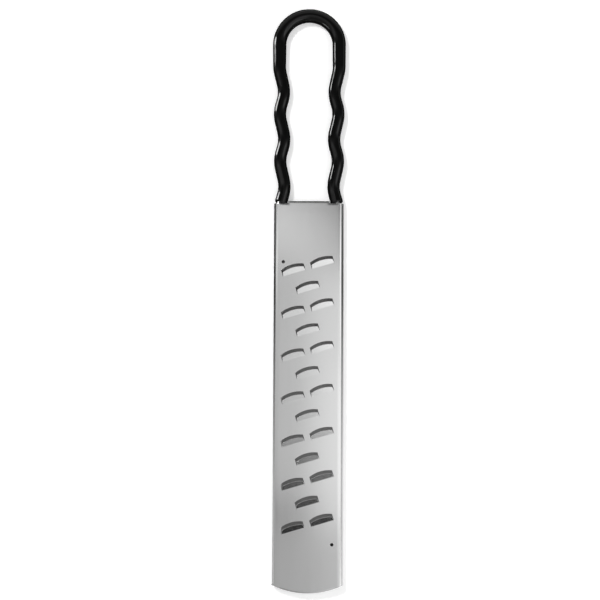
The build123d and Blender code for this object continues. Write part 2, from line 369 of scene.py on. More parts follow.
hole_turn = np.linspace(0, 2 * math.pi, HOLE_POINTS, endpoint=False)
hole_ring = PILOT_RADIUS * np.column_stack([np.cos(hole_turn), np.sin(hole_turn)])
hole_loops = PILOTS[:, None, :] + hole_ring[None, :, :]
hole_rims = (PILOTS[:, None, :] + RIM_SHARE * hole_ring[None, :, :]).reshape(-1, 2)

row_u = u_lines[np.abs(u_lines) < BLANK_HALF - ROLL_STEP / 2]
top_u = u_lines[np.abs(u_lines) < CUT_X - CORNER_ROUND - CLEAR_OF_CORNER]
side_u = row_u[np.abs(row_u) > CUT_X + CLEAR_OF_CORNER]
side_u = side_u[np.abs(side_u) < BLANK_HALF_AT_MOUTH - ROLL_STEP / 2]
tip_rows = rows_below(row_u, tip_line(row_u), -edge_rows)
top_rows = rows_below(top_u, np.full(len(top_u), EDGE_Y), edge_rows)
side_rows = rows_below(side_u, np.full(len(side_u), EDGE_Y - CORNER_CUT), edge_rows)
filling = to_blank(tooth_filling).reshape(-1, 2)
loose_points = np.vstack([grid, *tip_rows, *top_rows, *side_rows, filling, hole_rims])
print(len(loose_points), "points fill the blank")

# %% [markdown]
# ## Triangles between the cut lines
# A constrained Delaunay triangulation joins the points so that no triangle crosses a cut line. It
# fills the gaps and the holes too, so the triangles whose middle lies in one are dropped. Testing
# the middles against the slot's own formula needs no search along the outlines.

# %% Triangulate the blank
MERGE_DISTANCE = 1e-5


def closed_loop(start, count):
    """The edges of a loop of points that are numbered on from a start."""
    numbers = np.arange(count)
    return np.column_stack([start + numbers, start + (numbers + 1) % count])


gap_loops = to_blank(gap_loop)
loops = [outline, *gap_loops, *hole_loops]
starts = np.r_[0, np.cumsum([len(loop) for loop in loops])[:-1]]
cut_edges = np.vstack([closed_loop(start, len(loop)) for start, loop in zip(starts, loops)])
laid_out = np.vstack([*loops, loose_points]) / MM
made = delaunay_2d_cdt(laid_out.tolist(), cut_edges.tolist(), [], 1, MERGE_DISTANCE)
blank = np.array([tuple(point) for point in made[0]]) * MM
triangles = np.array(made[2])

middles = blank[triangles].mean(axis=1)
middle_s, middle_t = to_nearest_tooth(middles)
in_gap = in_slot(middle_s, middle_t) & ~in_tongue(middle_s, middle_t)
triangles = triangles[~in_gap & ~in_hole(middles, PILOT_RADIUS)]
print(len(blank), "points and", len(triangles), "triangles in the blank")

# %% [markdown]
# ## Bending the blank
# The plate is not quite flat, as no pressed sheet is. It is a little hollow by the handle and a
# little crowned towards the tip, its cut ends are drawn down by the shear, which makes the dark
# line along them, and a burr stands on the left edge at the tip. These are hundredths of a
# millimetre to half a millimetre, but polished steel shows them, so each is a formula of its own.

# %% How the sheet leaves the flat
HOLLOW = -0.03 * MM
CROWN = 0.03 * MM
CROWN_FROM_Y, CROWN_FADE = 8 * MM, 9 * MM
SHEAR_DRAW = 0.075 * MM
SHEAR_REACH = 1.2 * MM
BURR = 0.55 * MM
BURR_REACH = 0.6 * MM


def plate_level(u, y):
    """Height above the plate's level: a shallow arch across whose depth changes along the blade."""
    along_share = 1 / (1 + np.exp((y - CROWN_FROM_Y) / CROWN_FADE))
    depth = HOLLOW + (CROWN - HOLLOW) * along_share
    share = np.clip(np.abs(u) / ROLL_X, 0, 1)
    return -depth * share**2 * (2 - share**2)


def to_handle_cut(u, y):
    """Distance to the cut at the handle end: to its straight edge or its notch, if that is nearer."""
    beside = np.maximum(CUT_X - np.abs(u), 0)
    below = np.maximum(EDGE_Y - CORNER_CUT - y, 0)
    return np.minimum(EDGE_Y - y, np.hypot(beside, below))


def drawn_down(distance):
    """How far the shear pulls the surface down near a cut: a parabola over a short reach."""
    return SHEAR_DRAW * np.clip(1 - distance / SHEAR_REACH, 0, 1) ** 2


def burr_height(u, y, angle):
    """How far the left roll's cut end stands out: a bell along Y, widest at its outer side."""
    bell = np.exp(-(((y - tip_line(u)) / BURR_REACH) ** 2))
    return BURR * bell * (u < 0) * np.sin(np.clip(angle, 0, math.pi)) ** 4


print("plate is", CROWN / MM, "mm off the flat at most, and its ends", SHEAR_DRAW / MM)

# %% [markdown]
# ## Two bends
# A tongue runs round a small fold and then straight up at its angle, and the long edges go round
# the wire. Both bends keep the sheet's length: a point that lay so far past the bend's line on the
# blank lies as far along the arc, or past it. So one formula takes every point from the flat blank
# to the finished blade, and the gaps round the tongues open by themselves.

# %% Bend every point into place
ROLL_FADE = 1.5 * MM
TOUCH = 1e-7


def bend(blank_points):
    """Blank to blade: a roll point turns about the wire by its arc length over the radius, and
    a tongue point follows the fold's arc and then its slope."""
    u, y = blank_points.T
    on_plate = np.clip((ROLL_X - np.abs(u)) / ROLL_FADE, 0, 1)
    sink = (drawn_down(y - tip_line(u)) + drawn_down(to_handle_cut(u, y))) * on_plate
    angle = np.maximum(np.abs(u) - ROLL_X, 0) / ROLL_RADIUS
    radius = ROLL_RADIUS - sink + burr_height(u, y, angle)
    x = np.sign(u) * (np.minimum(np.abs(u), ROLL_X) + radius * np.sin(angle))
    z = WIRE_Z + radius * np.cos(angle)
    edge_level = plate_level(np.full_like(u, ROLL_X), y)
    z = z + np.where(np.abs(u) < ROLL_X, plate_level(u, y) - edge_level, 0)

    s, t = to_nearest_tooth(blank_points)
    tongue = (t > 0) & in_tongue(s, t, TOUCH)
    fold = np.clip(t, 0, FOLD_LENGTH)
    past = t - fold
    run = FOLD_RADIUS * np.sin(fold / FOLD_RADIUS) + past * math.cos(TOOTH_ANGLE)
    rise = FOLD_RADIUS * (1 - np.cos(fold / FOLD_RADIUS)) + past * math.sin(TOOTH_ANGLE)
    x = x + np.where(tongue, (run - t) * tilt_t[0], 0)
    y = y + np.where(tongue, (run - t) * tilt_t[1], 0)
    z = z + np.where(tongue, rise, 0)
    return np.column_stack([x, y, z])


blade_points = bend(blank)
blade_ends = np.array([blade_points.min(axis=0), blade_points.max(axis=0)])
print("blade reaches", np.round(blade_ends / MM, 2).tolist())

# %% Make the blade and give the sheet its thickness
EDGE_ROUND = 0.05 * MM
SHARP_ON_BLADE, ROUNDED_FROM = math.radians(40), math.radians(50)
first, second, third = (blank[triangles[:, corner]] for corner in range(3))
flip = np.cross(second - first, third - first) < 0
triangles[flip] = triangles[flip][:, ::-1]
blade_faces = triangles.tolist()
blade = make_piece("pressed_blade", blade_points, blade_faces, SHARP_ON_BLADE, "blade")

thickness = blade.modifiers.new("sheet", "SOLIDIFY")
thickness.thickness = SHEET
thickness.offset = -1
thickness.use_rim = True
thickness.material_offset_rim = 1
rounding = blade.modifiers.new("edge", "BEVEL")
rounding.width = EDGE_ROUND
rounding.segments = 2
rounding.limit_method = "ANGLE"
rounding.angle_limit = ROUNDED_FROM
rounding.use_clamp_overlap = False
rounding.harden_normals = True
rounding.material = -1
print("sheet is", SHEET / MM, "mm thick")

# %% [markdown]
# ## The handle's line
# The wire is bent cold from one straight length. Its line has only straight runs and even bends,
# so a list of corners and bend radii says all of it. Near each corner an arc takes a little off
# both runs, and the whole line is then a row of stretches, each of one curvature.

# %% Corners of the handle's line
ROLL_ENTRY = -4.96 * MM
FIRST_NECK = 8.8 * MM
NECK_X = 14.15 * MM
NECK_STEP = np.array([0.27, 28.8]) * MM
SWELL_STEP = np.array([3.77, 16.128]) * MM
ARCH_RADIUS = 17.99 * MM
ARCH_ENTRY = 80.51 * MM
WIRE_END_Y = -165.145 * MM
WAVE_BEND, ENTRY_BEND, ARCH_BEND = 19 * MM, 25 * MM, 20 * MM

grip_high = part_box("grip_coating")[1]
GRIP_ARCH_RADIUS = 4.15 * MM
ARCH_TOP = grip_high.y - GRIP_ARCH_RADIUS

necks = np.array([NECK_X, FIRST_NECK]) + NECK_STEP * np.arange(3)[:, None]
swells = necks[:2] + SWELL_STEP
waves = np.array([necks[0], swells[0], necks[1], swells[1], necks[2]])
leg = np.vstack([[ROLL_X, ROLL_ENTRY], waves, [ARCH_RADIUS, ARCH_ENTRY]]) + [0, EDGE_Y]
right_side = np.vstack([[ROLL_X, WIRE_END_Y], leg, [ARCH_RADIUS, ARCH_TOP]])
handle_corners = np.vstack([right_side, right_side[::-1] * [-1, 1]])
side_radii = [ENTRY_BEND] + [WAVE_BEND] * len(waves) + [ARCH_BEND, ARCH_RADIUS]
handle_radii = np.array(side_radii + side_radii[::-1])
print(len(handle_radii), "bends on the handle's line")


# %% A line of straight runs and even bends
def chord(length, curvature, heading):
    """The vector from one point of an even bend to another. Over a length t, curvature k turns
    the line by k*t. The chord points along the middle heading and is t * sin(k*t/2) / (k*t/2)
    long, and a straight run is the same formula with k = 0."""
    half_turn = curvature * length / 2
    reach = length * np.sinc(half_turn / math.pi)
    middle = heading + half_turn
    return np.stack([reach * np.cos(middle), reach * np.sin(middle)], axis=-1)


def bent_line(points, radii):
    """Stretches of a line with rounded corners: starts, headings, curvatures and lengths. A turn
    of angle a at radius r takes r*tan(a/2) off both runs and puts an arc r*a long there."""
    runs = np.diff(points, axis=0)
    run_lengths = np.hypot(*runs.T)
    run_headings = np.unwrap(np.arctan2(runs[:, 1], runs[:, 0]))
    turns = np.diff(run_headings)
    cut = radii * np.tan(np.abs(turns) / 2)
    lengths, curvatures = np.zeros(2 * len(radii) + 1), np.zeros(2 * len(radii) + 1)
    lengths[0::2] = run_lengths - np.r_[0, cut] - np.r_[cut, 0]
    lengths[1::2] = radii * np.abs(turns)
    curvatures[1::2] = np.sign(turns) / radii
    headings = run_headings[0] + np.r_[0, np.cumsum(curvatures * lengths)[:-1]]
    steps = chord(lengths, curvatures, headings)
    begins = points[0] + np.vstack([np.zeros((1, 2)), np.cumsum(steps, axis=0)[:-1]])
    return begins, headings, curvatures, lengths


def along(line, distance):
    """Points and headings at given distances along a bent line."""
    begins, headings, curvatures, lengths = line
    ends = np.cumsum(lengths)
    stretch = np.minimum(np.searchsorted(ends, distance), len(lengths) - 1)
    past = distance - (ends - lengths)[stretch]
    points = begins[stretch] + chord(past, curvatures[stretch], headings[stretch])
    return points, headings[stretch] + curvatures[stretch] * past


handle_line = bent_line(handle_corners, handle_radii)
HANDLE_LENGTH = handle_line[3].sum()
print("wire is", round(HANDLE_LENGTH / MM, 1), "mm long, in", len(handle_line[3]), "stretches")

# %% [markdown]
# ## Round surfaces along the line
# A round wire is a circle carried along its line, square to it. Two parameters describe it: the
# distance along and the angle round. The angle is counted from the level outer side through the
# top, so an offset that depends on both can shape drips and sags without leaving the formula.


# %% Carry a circle along the line
def tube_points(distance, radius, turn):
    """Rings of points: the line's point plus a radius times the level normal and the up axis.
    Distance and radius are arrays of rings by points, and turn is one row of angles."""
    distance = np.broadcast_to(distance, np.broadcast_shapes(distance.shape, turn.shape))
    middle, heading = along(handle_line, distance.ravel())
    middle, heading = middle.reshape(*distance.shape, 2), heading.reshape(distance.shape)
    side = radius * np.cos(turn)
    x = middle[..., 0] + side * np.sin(heading)
    y = middle[..., 1] - side * np.cos(heading)
    z = WIRE_Z + radius * np.sin(turn) + np.zeros_like(x)
    return np.stack([x, y, z], axis=-1)


def ring_faces(rings, around, closed):
    """Four-sided faces between neighbouring rings, and from the last ring to the first if closed."""
    spans = rings if closed else rings - 1
    i, j = np.meshgrid(np.arange(spans), np.arange(around), indexing="ij")
    here, there = i * around, (i + 1) % rings * around
    j_next = (j + 1) % around
    return np.stack([here + j, here + j_next, there + j_next, there + j], axis=-1).reshape(-1, 4)


def angles_round(count):
    """One row of even angles round a circle."""
    return np.linspace(0, 2 * math.pi, count, endpoint=False)[None, :]


print("four angles round:", np.round(angles_round(4), 2).tolist())

# %% The wire
WIRE_AROUND = 40
WIRE_CHAMFER = 0.5 * MM
WIRE_STEP = 1.2 * MM
SHARP_ON_WIRE = math.radians(30)
wire_body = spaced(WIRE_CHAMFER, HANDLE_LENGTH - WIRE_CHAMFER, WIRE_STEP)
wire_places = np.r_[0, wire_body, HANDLE_LENGTH][:, None]
wire_radii = np.full_like(wire_places, WIRE_RADIUS)
wire_radii[[0, -1]] = WIRE_RADIUS - WIRE_CHAMFER
wire_points = tube_points(wire_places, wire_radii, angles_round(WIRE_AROUND)).reshape(-1, 3)
wire_faces = ring_faces(len(wire_places), WIRE_AROUND, False).tolist()
first_ring = np.arange(WIRE_AROUND)
last_ring = first_ring + (len(wire_places) - 1) * WIRE_AROUND
wire_faces += [first_ring[::-1].tolist(), last_ring.tolist()]
wire = make_piece("bent_wire", wire_points, wire_faces, SHARP_ON_WIRE, "handle_wire")

# %% [markdown]
# ## The dipped grip
# The handle is heated and dipped in liquid vinyl, which gels on the hot wire. The coat is thickest
# round the arch, which goes in first and comes out last, thinner on the legs, and it ends in small
# uneven drips beside the blade. Radius and end are therefore functions of the place on the wire.

# %% How thick the coat is and where it ends
GRIP_AROUND = 48
BORE_CLEARANCE = 0.03 * MM
NEST_GAP = 0.25 * MM
GRIP_BORE = WIRE_RADIUS + BORE_CLEARANCE
GRIP_END_Y = EDGE_Y - CORNER_CUT + NEST_GAP
PROBE_STEP = 0.1 * MM
END_FADE = 4 * MM
COAT_SIZES = np.array([3.9, 3.8, 3.74, 3.76, 3.72, 4.08, 4.15]) * MM
leg_probe = spaced(0, HANDLE_LENGTH / 2, PROBE_STEP)
probe_y = along(handle_line, leg_probe)[0][:, 1]
GRIP_START = np.interp(GRIP_END_Y, probe_y, leg_probe)
NECK_PLACES = np.interp(necks[:, 1] + EDGE_Y, probe_y, leg_probe)
ARCH_PLACE = np.interp(ARCH_TOP - ARCH_RADIUS, probe_y, leg_probe)


def coat_radius(distance):
    """Outer radius of the coat by its distance along the wire: legs, waists and the thick arch."""
    near = np.minimum(distance, HANDLE_LENGTH - distance)
    places = [GRIP_START, GRIP_START + END_FADE, *NECK_PLACES, ARCH_PLACE, HANDLE_LENGTH / 2]
    return np.interp(near, places, COAT_SIZES)


def drip(angle, phase):
    """How far the coat's end runs on at an angle round the wire: two slow waves and a quick one."""
    slow = 0.30 * np.cos(2 * angle + phase) + 0.22 * np.cos(3 * angle - 2 * phase)
    return (slow + 0.12 * np.cos(7 * angle + phase)) * MM


def sag(distance, angle):
    """How uneven the coat is: a slow wave that leans to one side and a quick one that winds."""
    slow = 0.012 * MM * np.sin(distance / (9 * MM)) * np.cos(angle - 1.1)
    return slow + 0.008 * MM * np.sin(distance / (3.7 * MM) + 2 * angle)


print("coat starts", round(GRIP_START / MM, 1), "mm along the wire")

# %% The grip
LIP = 0.25 * MM
ROUND_LENGTH = 0.85 * MM
GRIP_STEP = 1.0 * MM
SAG_FADE = 6 * MM
SAG_ROOM = 0.02 * MM
SHARP_ON_GRIP = math.radians(60)
FIRST_DRIP, LAST_DRIP = 0.7, 2.4
lead = np.array([0, 0.03, 0.12, 0.3, 0.55, 0.85, 1.2, 1.7, 2.3, 3.0]) * MM

grip_turn = angles_round(GRIP_AROUND)
grip_body = spaced(GRIP_START + END_FADE, HANDLE_LENGTH - GRIP_START - END_FADE, GRIP_STEP)
grip_leads = GRIP_START + lead, (HANDLE_LENGTH - GRIP_START - lead)[::-1]
grip_places = np.r_[grip_leads[0], grip_body, grip_leads[1]][:, None]
from_start, from_end = grip_places - GRIP_START, HANDLE_LENGTH - GRIP_START - grip_places
from_nearer = np.minimum(from_start, from_end)
start_share = np.clip(1 - from_start / END_FADE, 0, 1) ** 2
end_share = np.clip(1 - from_end / END_FADE, 0, 1) ** 2
runs_on = drip(grip_turn, FIRST_DRIP) * start_share - drip(grip_turn, LAST_DRIP) * end_share
fullness = np.sqrt(1 - (1 - np.clip(from_nearer / ROUND_LENGTH, 0, 1)) ** 2)
outer_radii = GRIP_BORE + LIP + (coat_radius(grip_places) - GRIP_BORE - LIP) * fullness
sags = sag(grip_places, grip_turn) * np.clip(from_nearer / SAG_FADE, 0, 1)
outer = tube_points(grip_places - runs_on, outer_radii - SAG_ROOM + sags, grip_turn)
bore_radii = np.full_like(grip_places, GRIP_BORE)
bore = tube_points((grip_places - runs_on)[::-1], bore_radii, grip_turn)
grip_points = np.vstack([outer.reshape(-1, 3), bore.reshape(-1, 3)])
grip_faces = ring_faces(2 * len(grip_places), GRIP_AROUND, True).tolist()
grip = make_piece("dipped_grip", grip_points, grip_faces, SHARP_ON_GRIP, "grip_coating")

# %% [markdown]
# ## Shader maths as Python
# A material is a small program of nodes. Writing it as expressions keeps it readable: a wrapped
# socket can be added and multiplied like a number, and each operator adds the Math node for it.


# %% Wrap sockets and add nodes
class Value:
    """A socket of a node tree that takes part in Python expressions."""

    def __init__(self, nodes, socket):
        self.nodes = nodes
        self.socket = socket

    def math(self, operation, first, second):
        return self.nodes.add("Math", {"operation": operation}, {0: first, 1: second})

    def __add__(self, other):
        return self.math("ADD", self, other)

    def __radd__(self, other):
        return self.math("ADD", other, self)

    def __sub__(self, other):
        return self.math("SUBTRACT", self, other)

    def __rsub__(self, other):
        return self.math("SUBTRACT", other, self)

    def __mul__(self, other):
        return self.math("MULTIPLY", self, other)

    def __rmul__(self, other):
        return self.math("MULTIPLY", other, self)

    def __truediv__(self, other):
        return self.math("DIVIDE", self, other)

    def __pow__(self, other):
        return self.math("POWER", self, other)

    def size(self):
        """This value without its sign."""
        return self.nodes.add("Math", {"operation": "ABSOLUTE"}, {0: self})

    def largest(self, other):
        """The larger of this value and another."""
        return self.math("MAXIMUM", self, other)

    def between(self, low, high):
        """This value held between two numbers."""
        return self.math("MINIMUM", self.math("MAXIMUM", self, low), high)


class Nodes:
    """Adds nodes to one material or world, settings first and sockets after."""

    def __init__(self, owner):
        owner.use_nodes = True
        self.tree = owner.node_tree
        self.tree.nodes.clear()

    def add(self, kind, settings=None, sockets=None, output=0):
        """Makes a node of a kind, sets its settings, then fills or links its sockets."""
        node = self.tree.nodes.new("ShaderNode" + kind)
        for name, value in (settings or {}).items():
            setattr(node, name, value)
        for name, value in (sockets or {}).items():
            if isinstance(value, Value):
                self.tree.links.new(value.socket, node.inputs[name])
            else:
                node.inputs[name].default_value = value
        return Value(self, node.outputs[output]) if len(node.outputs) else None


print("shader maths is ready")


# %% Colours, places and plain light
def grey_colour(level, tint=(1, 1, 1)):
    """A colour with four parts from a grey level and a slight tint."""
    return (level * tint[0], level * tint[1], level * tint[2], 1)


def mixed(nodes, share, first, second):
    """A colour that goes from a first one to a second as a share rises from 0 to 1."""
    return nodes.add("Mix", {"data_type": "RGBA"}, {0: share, 6: first, 7: second}, 2)


def part_along(nodes, vector, axis):
    """The part of a vector along one of the axes X, Y and Z."""
    return nodes.add("SeparateXYZ", {}, {"Vector": vector}, axis)


def glow(nodes, strength):
    """White light that a surface gives off by itself, at a given strength."""
    return nodes.add("Emission", {}, {"Color": grey_colour(1), "Strength": strength})


print("a mid grey is", grey_colour(0.5))

# %% [markdown]
# ## The steel of the blade
# Cold-rolled stainless has a bright, slightly soft finish. The mill's rolls leave fine lines along
# the strip, so the noise is stretched along Y, the blade's length. It drives a small change of
# roughness and a bump of a few microns. A slower cloud stands for the uneven polish and for
# handling. The cut edges are sheared metal, darker and rougher, so they have a finish of their own.

# %% Steel finishes
STREAK_SIZE = (1.4 * MM, 70 * MM, 1.4 * MM)
CLOUD_SIZE = (26 * MM, 60 * MM, 26 * MM)
WARM_TINT, COOL_TINT = (1, 0.998, 0.99), (0.995, 1, 1.005)


def stretched_noise(nodes, size, detail, roughness=0.55):
    """A noise in object space whose grain has a size in metres along each axis."""
    place = nodes.add("TexCoord", {}, {}, "Object")
    scale = [1 / length for length in size]
    laid = nodes.add("Mapping", {"vector_type": "POINT"}, {"Vector": place, "Scale": scale})
    sockets = {"Vector": laid, "Scale": 1.0, "Detail": detail, "Roughness": roughness}
    return nodes.add("TexNoise", {}, sockets)


def steel(name, level, roughness, grain_size, grain_depth, spread):
    """A stainless finish: grain along Y over a slow cloud, in colour, roughness and bump."""
    material = bpy.data.materials.new(name)
    nodes = Nodes(material)
    grain = stretched_noise(nodes, grain_size, 4.0)
    streak = stretched_noise(nodes, STREAK_SIZE, 3.0)
    cloud = stretched_noise(nodes, CLOUD_SIZE, 2.0)
    shade = (0.5 * grain + 0.3 * streak + 0.2 * cloud).between(0, 1)
    darker, lighter = grey_colour(level - spread, WARM_TINT), grey_colour(level + spread, COOL_TINT)
    colour = mixed(nodes, shade, darker, lighter)
    rough = roughness + 0.05 * (grain - 0.5) + 0.04 * (cloud - 0.5) + 0.04 * (streak - 0.5)
    bump = nodes.add("Bump", {}, {"Strength": 1.0, "Distance": grain_depth, "Height": grain})
    shader = nodes.add(
        "BsdfPrincipled", {},
        {"Base Color": colour, "Metallic": 1.0, "Roughness": rough.between(0.05, 1), "Normal": bump},
    )
    nodes.add("OutputMaterial", {}, {"Surface": shader})
    return material


MILL_GRAIN = (0.16 * MM, 14 * MM, 0.16 * MM)
SHEAR_GRAIN = (0.1 * MM, 0.1 * MM, 0.8 * MM)
DRAWN_GRAIN = (0.12 * MM, 6 * MM, 0.12 * MM)
# Each finish has a name, a level, a roughness, its grain's size and depth, and a spread of level.
blade_finish = steel("mill_finished_steel", 0.62, 0.14, MILL_GRAIN, 0.0012 * MM, 0.03)
cut_finish = steel("sheared_steel", 0.42, 0.4, SHEAR_GRAIN, 0.012 * MM, 0.1)
wire_finish = steel("drawn_wire_steel", 0.58, 0.2, DRAWN_GRAIN, 0.002 * MM, 0.03)
blade.data.materials.append(blade_finish)
blade.data.materials.append(cut_finish)
wire.data.materials.append(wire_finish)
print("steel finishes:", [finish.name for finish in (blade_finish, cut_finish, wire_finish)])

# %% [markdown]
# ## The black vinyl
# Plastisol comes out of the oven with a wet gloss and a skin that is never perfectly even. A soft
# bump a few millimetres across gives the slow waver of its highlights, and a finer one the faint
# orange peel. The colour is as dark as black plastic gets.

# %% Vinyl finish
SAG_SIZE = (7 * MM, 11 * MM, 7 * MM)
PEEL_SIZE = (0.9 * MM, 0.9 * MM, 0.9 * MM)
DUST_SIZE = (2.5 * MM, 2.5 * MM, 2.5 * MM)
VINYL_LEVELS = (0.0006, 0.0022)
WAVER_DEPTH = 0.12 * MM


def vinyl(name):
    """A glossy dipped coat: near-black, with slow sags and a fine peel in its bump."""
    material = bpy.data.materials.new(name)
    nodes = Nodes(material)
    waver = stretched_noise(nodes, SAG_SIZE, 1.0)
    peel = stretched_noise(nodes, PEEL_SIZE, 2.0)
    dust = stretched_noise(nodes, DUST_SIZE, 5.0, 0.7)
    colour = mixed(nodes, dust, grey_colour(VINYL_LEVELS[0]), grey_colour(VINYL_LEVELS[1]))
    height = waver + 0.05 * peel
    bump = nodes.add("Bump", {}, {"Strength": 1.0, "Distance": WAVER_DEPTH, "Height": height})
    rough = 0.13 + 0.08 * (dust - 0.5)
    shader = nodes.add(
        "BsdfPrincipled", {},
        {"Base Color": colour, "Roughness": rough.between(0.03, 1), "IOR": 1.34, "Normal": bump},
    )
    nodes.add("OutputMaterial", {}, {"Surface": shader})
    return material


grip.data.materials.append(vinyl("dipped_black_vinyl"))
print("grip finish:", grip.data.materials[0].name)

# %% [markdown]
# ## The table
# The tool lies on a plain pale table, which takes its shadow. In a bright studio such a table is
# white, but more light on it would also be more light on the tool. So the table is painted pale
# and adds a little light of its own, which only the camera and mirror images see. The openings
# look through to the table, and there the real one lies in deep shade. A band of darker paint
# under the blade stands for that shade. It has two darker spots: one below the pilot hole at the
# tip, and one where the key lamp shines through the other hole.


# %% Cards that stand round the tool
def flat_card(name, corner_points):
    """A four-cornered card from its corner points, kept out of the object's own pieces."""
    mesh = bpy.data.meshes.new(name)
    mesh.from_pydata([tuple(p) for p in corner_points], [], [(0, 1, 2, 3)])
    card = bpy.data.objects.new(name, mesh)
    bpy.context.scene.collection.objects.link(card)
    card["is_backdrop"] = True
    return card


def level_card(name, x_range, y_range, z):
    """A level card from its ranges in X and Y and its height."""
    (left, right), (near, far) = x_range, y_range
    return flat_card(name, [(left, near, z), (right, near, z), (right, far, z), (left, far, z)])


def upright_card(name, x, y_range, z_range):
    """An upright card that faces along X, from its place and its ranges in Y and Z."""
    (near, far), (low, high) = y_range, z_range
    return flat_card(name, [(x, near, low), (x, far, low), (x, far, high), (x, near, high)])


TABLE_REACH = 9.0
table = level_card("table", (-TABLE_REACH, TABLE_REACH), (-TABLE_REACH, TABLE_REACH), 0)
print("table is", 2 * TABLE_REACH, "m wide")

# %% Places on the table
table_finish = bpy.data.materials.new("pale_table")
table_nodes = Nodes(table_finish)
spot = table_nodes.add("TexCoord", {}, {}, "Object")
spot_x = part_along(table_nodes, spot, "X")
spot_y = part_along(table_nodes, spot, "Y")


def distance_from(x, y):
    """How far a table point is from a given one: the root of its squared X and Y added."""
    across_x, along_y = spot_x - x, spot_y - y
    return (across_x * across_x + along_y * along_y) ** 0.5


def spot_paint(centre, radius, fade, share):
    """A factor on the paint: a share inside a radius, which rises to 1 over a fade."""
    past = ((distance_from(*centre) - radius) / fade).between(0, 1)
    return share + (1 - share) * past


print("table finish:", table_finish.name)

# %% Paint of the table
TABLE_PAINT = 0.82
BAND_HALF = 16 * MM
BAND_PAST_PILOTS = 8 * MM
BAND_FADE = 2 * MM
BAND_PAINT_AT_TIP, BAND_PAINT_AT_HANDLE = 0.28, 0.60
BAND_TIP_Y, BAND_HANDLE_Y = -0.125, 0.016
LIT_SPOT = PILOTS[0] + [3.07 * MM, -3.04 * MM]

band_middle = PILOTS[:, 1].mean()
band_half_length = np.ptp(PILOTS[:, 1]) / 2 + BAND_PAST_PILOTS
beyond_side = (spot_x.size() - BAND_HALF) / BAND_FADE
beyond_end = ((spot_y - band_middle).size() - band_half_length) / BAND_FADE
uncovered = beyond_side.largest(beyond_end).between(0, 1)
handle_share = ((spot_y - BAND_TIP_Y) / (BAND_HANDLE_Y - BAND_TIP_Y)).between(0, 1)
band_paint = BAND_PAINT_AT_TIP + (BAND_PAINT_AT_HANDLE - BAND_PAINT_AT_TIP) * handle_share
band_paint = band_paint * spot_paint(PILOTS[1], radius=1.6 * MM, fade=1.4 * MM, share=0.15)
band_paint = band_paint * spot_paint(LIT_SPOT, radius=0.5 * MM, fade=1.0 * MM, share=0.35)
paint_level = band_paint + (TABLE_PAINT - band_paint) * uncovered
paint_colour = mixed(table_nodes, paint_level, grey_colour(0), grey_colour(1))
paint = table_nodes.add("BsdfDiffuse", {}, {"Color": paint_colour})
print("band is", round(2 * band_half_length / MM, 1), "mm long")

# %% Light that only the camera and mirror images see
TABLE_LIFT, FAR_LIFT = 0.38, 0.85
FAR_FROM, FAR_FADE = 0.7, 1.5
ray_kinds = ("Is Camera Ray", "Is Glossy Ray", "Is Transmission Ray")
camera_ray, mirror_ray, through_ray = [table_nodes.add("LightPath", {}, {}, kind) for kind in ray_kinds]
seen = (camera_ray + mirror_ray + through_ray).between(0, 1)
far_share = ((distance_from(0, 0) - FAR_FROM) / FAR_FADE).between(0, 1)
lift_level = TABLE_LIFT + (FAR_LIFT - TABLE_LIFT) * far_share
lift = glow(table_nodes, lift_level * uncovered * seen)
surface = table_nodes.add("AddShader", {}, {0: paint, 1: lift})
table_nodes.add("OutputMaterial", {}, {"Surface": surface})
table.data.materials.append(table_finish)
print("lift is", TABLE_LIFT, "beside the tool and", FAR_LIFT, "far away")

# %% [markdown]
# ## Dark cards for the rolled edges
# Polished steel shows little of itself and much of what stands round it, so lighting it means
# placing what it mirrors. The rolled edges and the coat turn down to the table, and a thin dark
# line shows where they mirror something dark beside the tool. A dark sheet on the table and a low
# flag at each side stand for it. Neither the camera nor the shadow sees them.

# %% Dark sheet and flags beside the tool
FLAG_X = 0.35
FLAG_Y = (-0.10, 0.16)
FLAG_TOP = 0.06
DARK_Y = (-0.20, 0.21)
DARK_Z = 0.05 * MM
LEFT_LEVELS = (0.02, 0.5)
RIGHT_LEVELS = (0.07, 0.9)
FADE_FROM = 0.005
FADE_LENGTH = 0.115


def dark_finish(name):
    """A dark glossy sheet that is lighter towards the tip, and more so on the right."""
    material = bpy.data.materials.new(name)
    nodes = Nodes(material)
    place = nodes.add("TexCoord", {}, {}, "Object")
    on_right = (part_along(nodes, place, "X") / HALF_WIDTH + 0.5).between(0, 1)
    towards_tip = ((FADE_FROM - part_along(nodes, place, "Y")) / FADE_LENGTH).between(0, 1)
    dark = LEFT_LEVELS[0] + (RIGHT_LEVELS[0] - LEFT_LEVELS[0]) * on_right
    light = LEFT_LEVELS[1] + (RIGHT_LEVELS[1] - LEFT_LEVELS[1]) * on_right
    gloss = nodes.add("BsdfPrincipled", {}, {"Base Color": grey_colour(0), "Roughness": 0.03})
    both = nodes.add("AddShader", {}, {0: glow(nodes, dark + (light - dark) * towards_tip), 1: gloss})
    nodes.add("OutputMaterial", {}, {"Surface": both})
    return material


dark_sheet = level_card("dark_sheet", (-FLAG_X, FLAG_X), DARK_Y, DARK_Z)
left_flag = upright_card("left_flag", -FLAG_X, FLAG_Y, (0, FLAG_TOP))
right_flag = upright_card("right_flag", FLAG_X, FLAG_Y, (0, FLAG_TOP))
dark_paint = dark_finish("dark_sheet_finish")
for card in (dark_sheet, left_flag, right_flag):
    card.data.materials.append(dark_paint)
print("dark sheet reaches", FLAG_X, "m to each side")

# %% [markdown]
# ## The dome
# What no lamp or card covers mirrors the sky of the scene. It is a plain grey dome, darker over
# the handle's side, where the drawn-down edges of the plate look, lighter past that, and white at
# the horizon, so that the table runs out into white from every side.

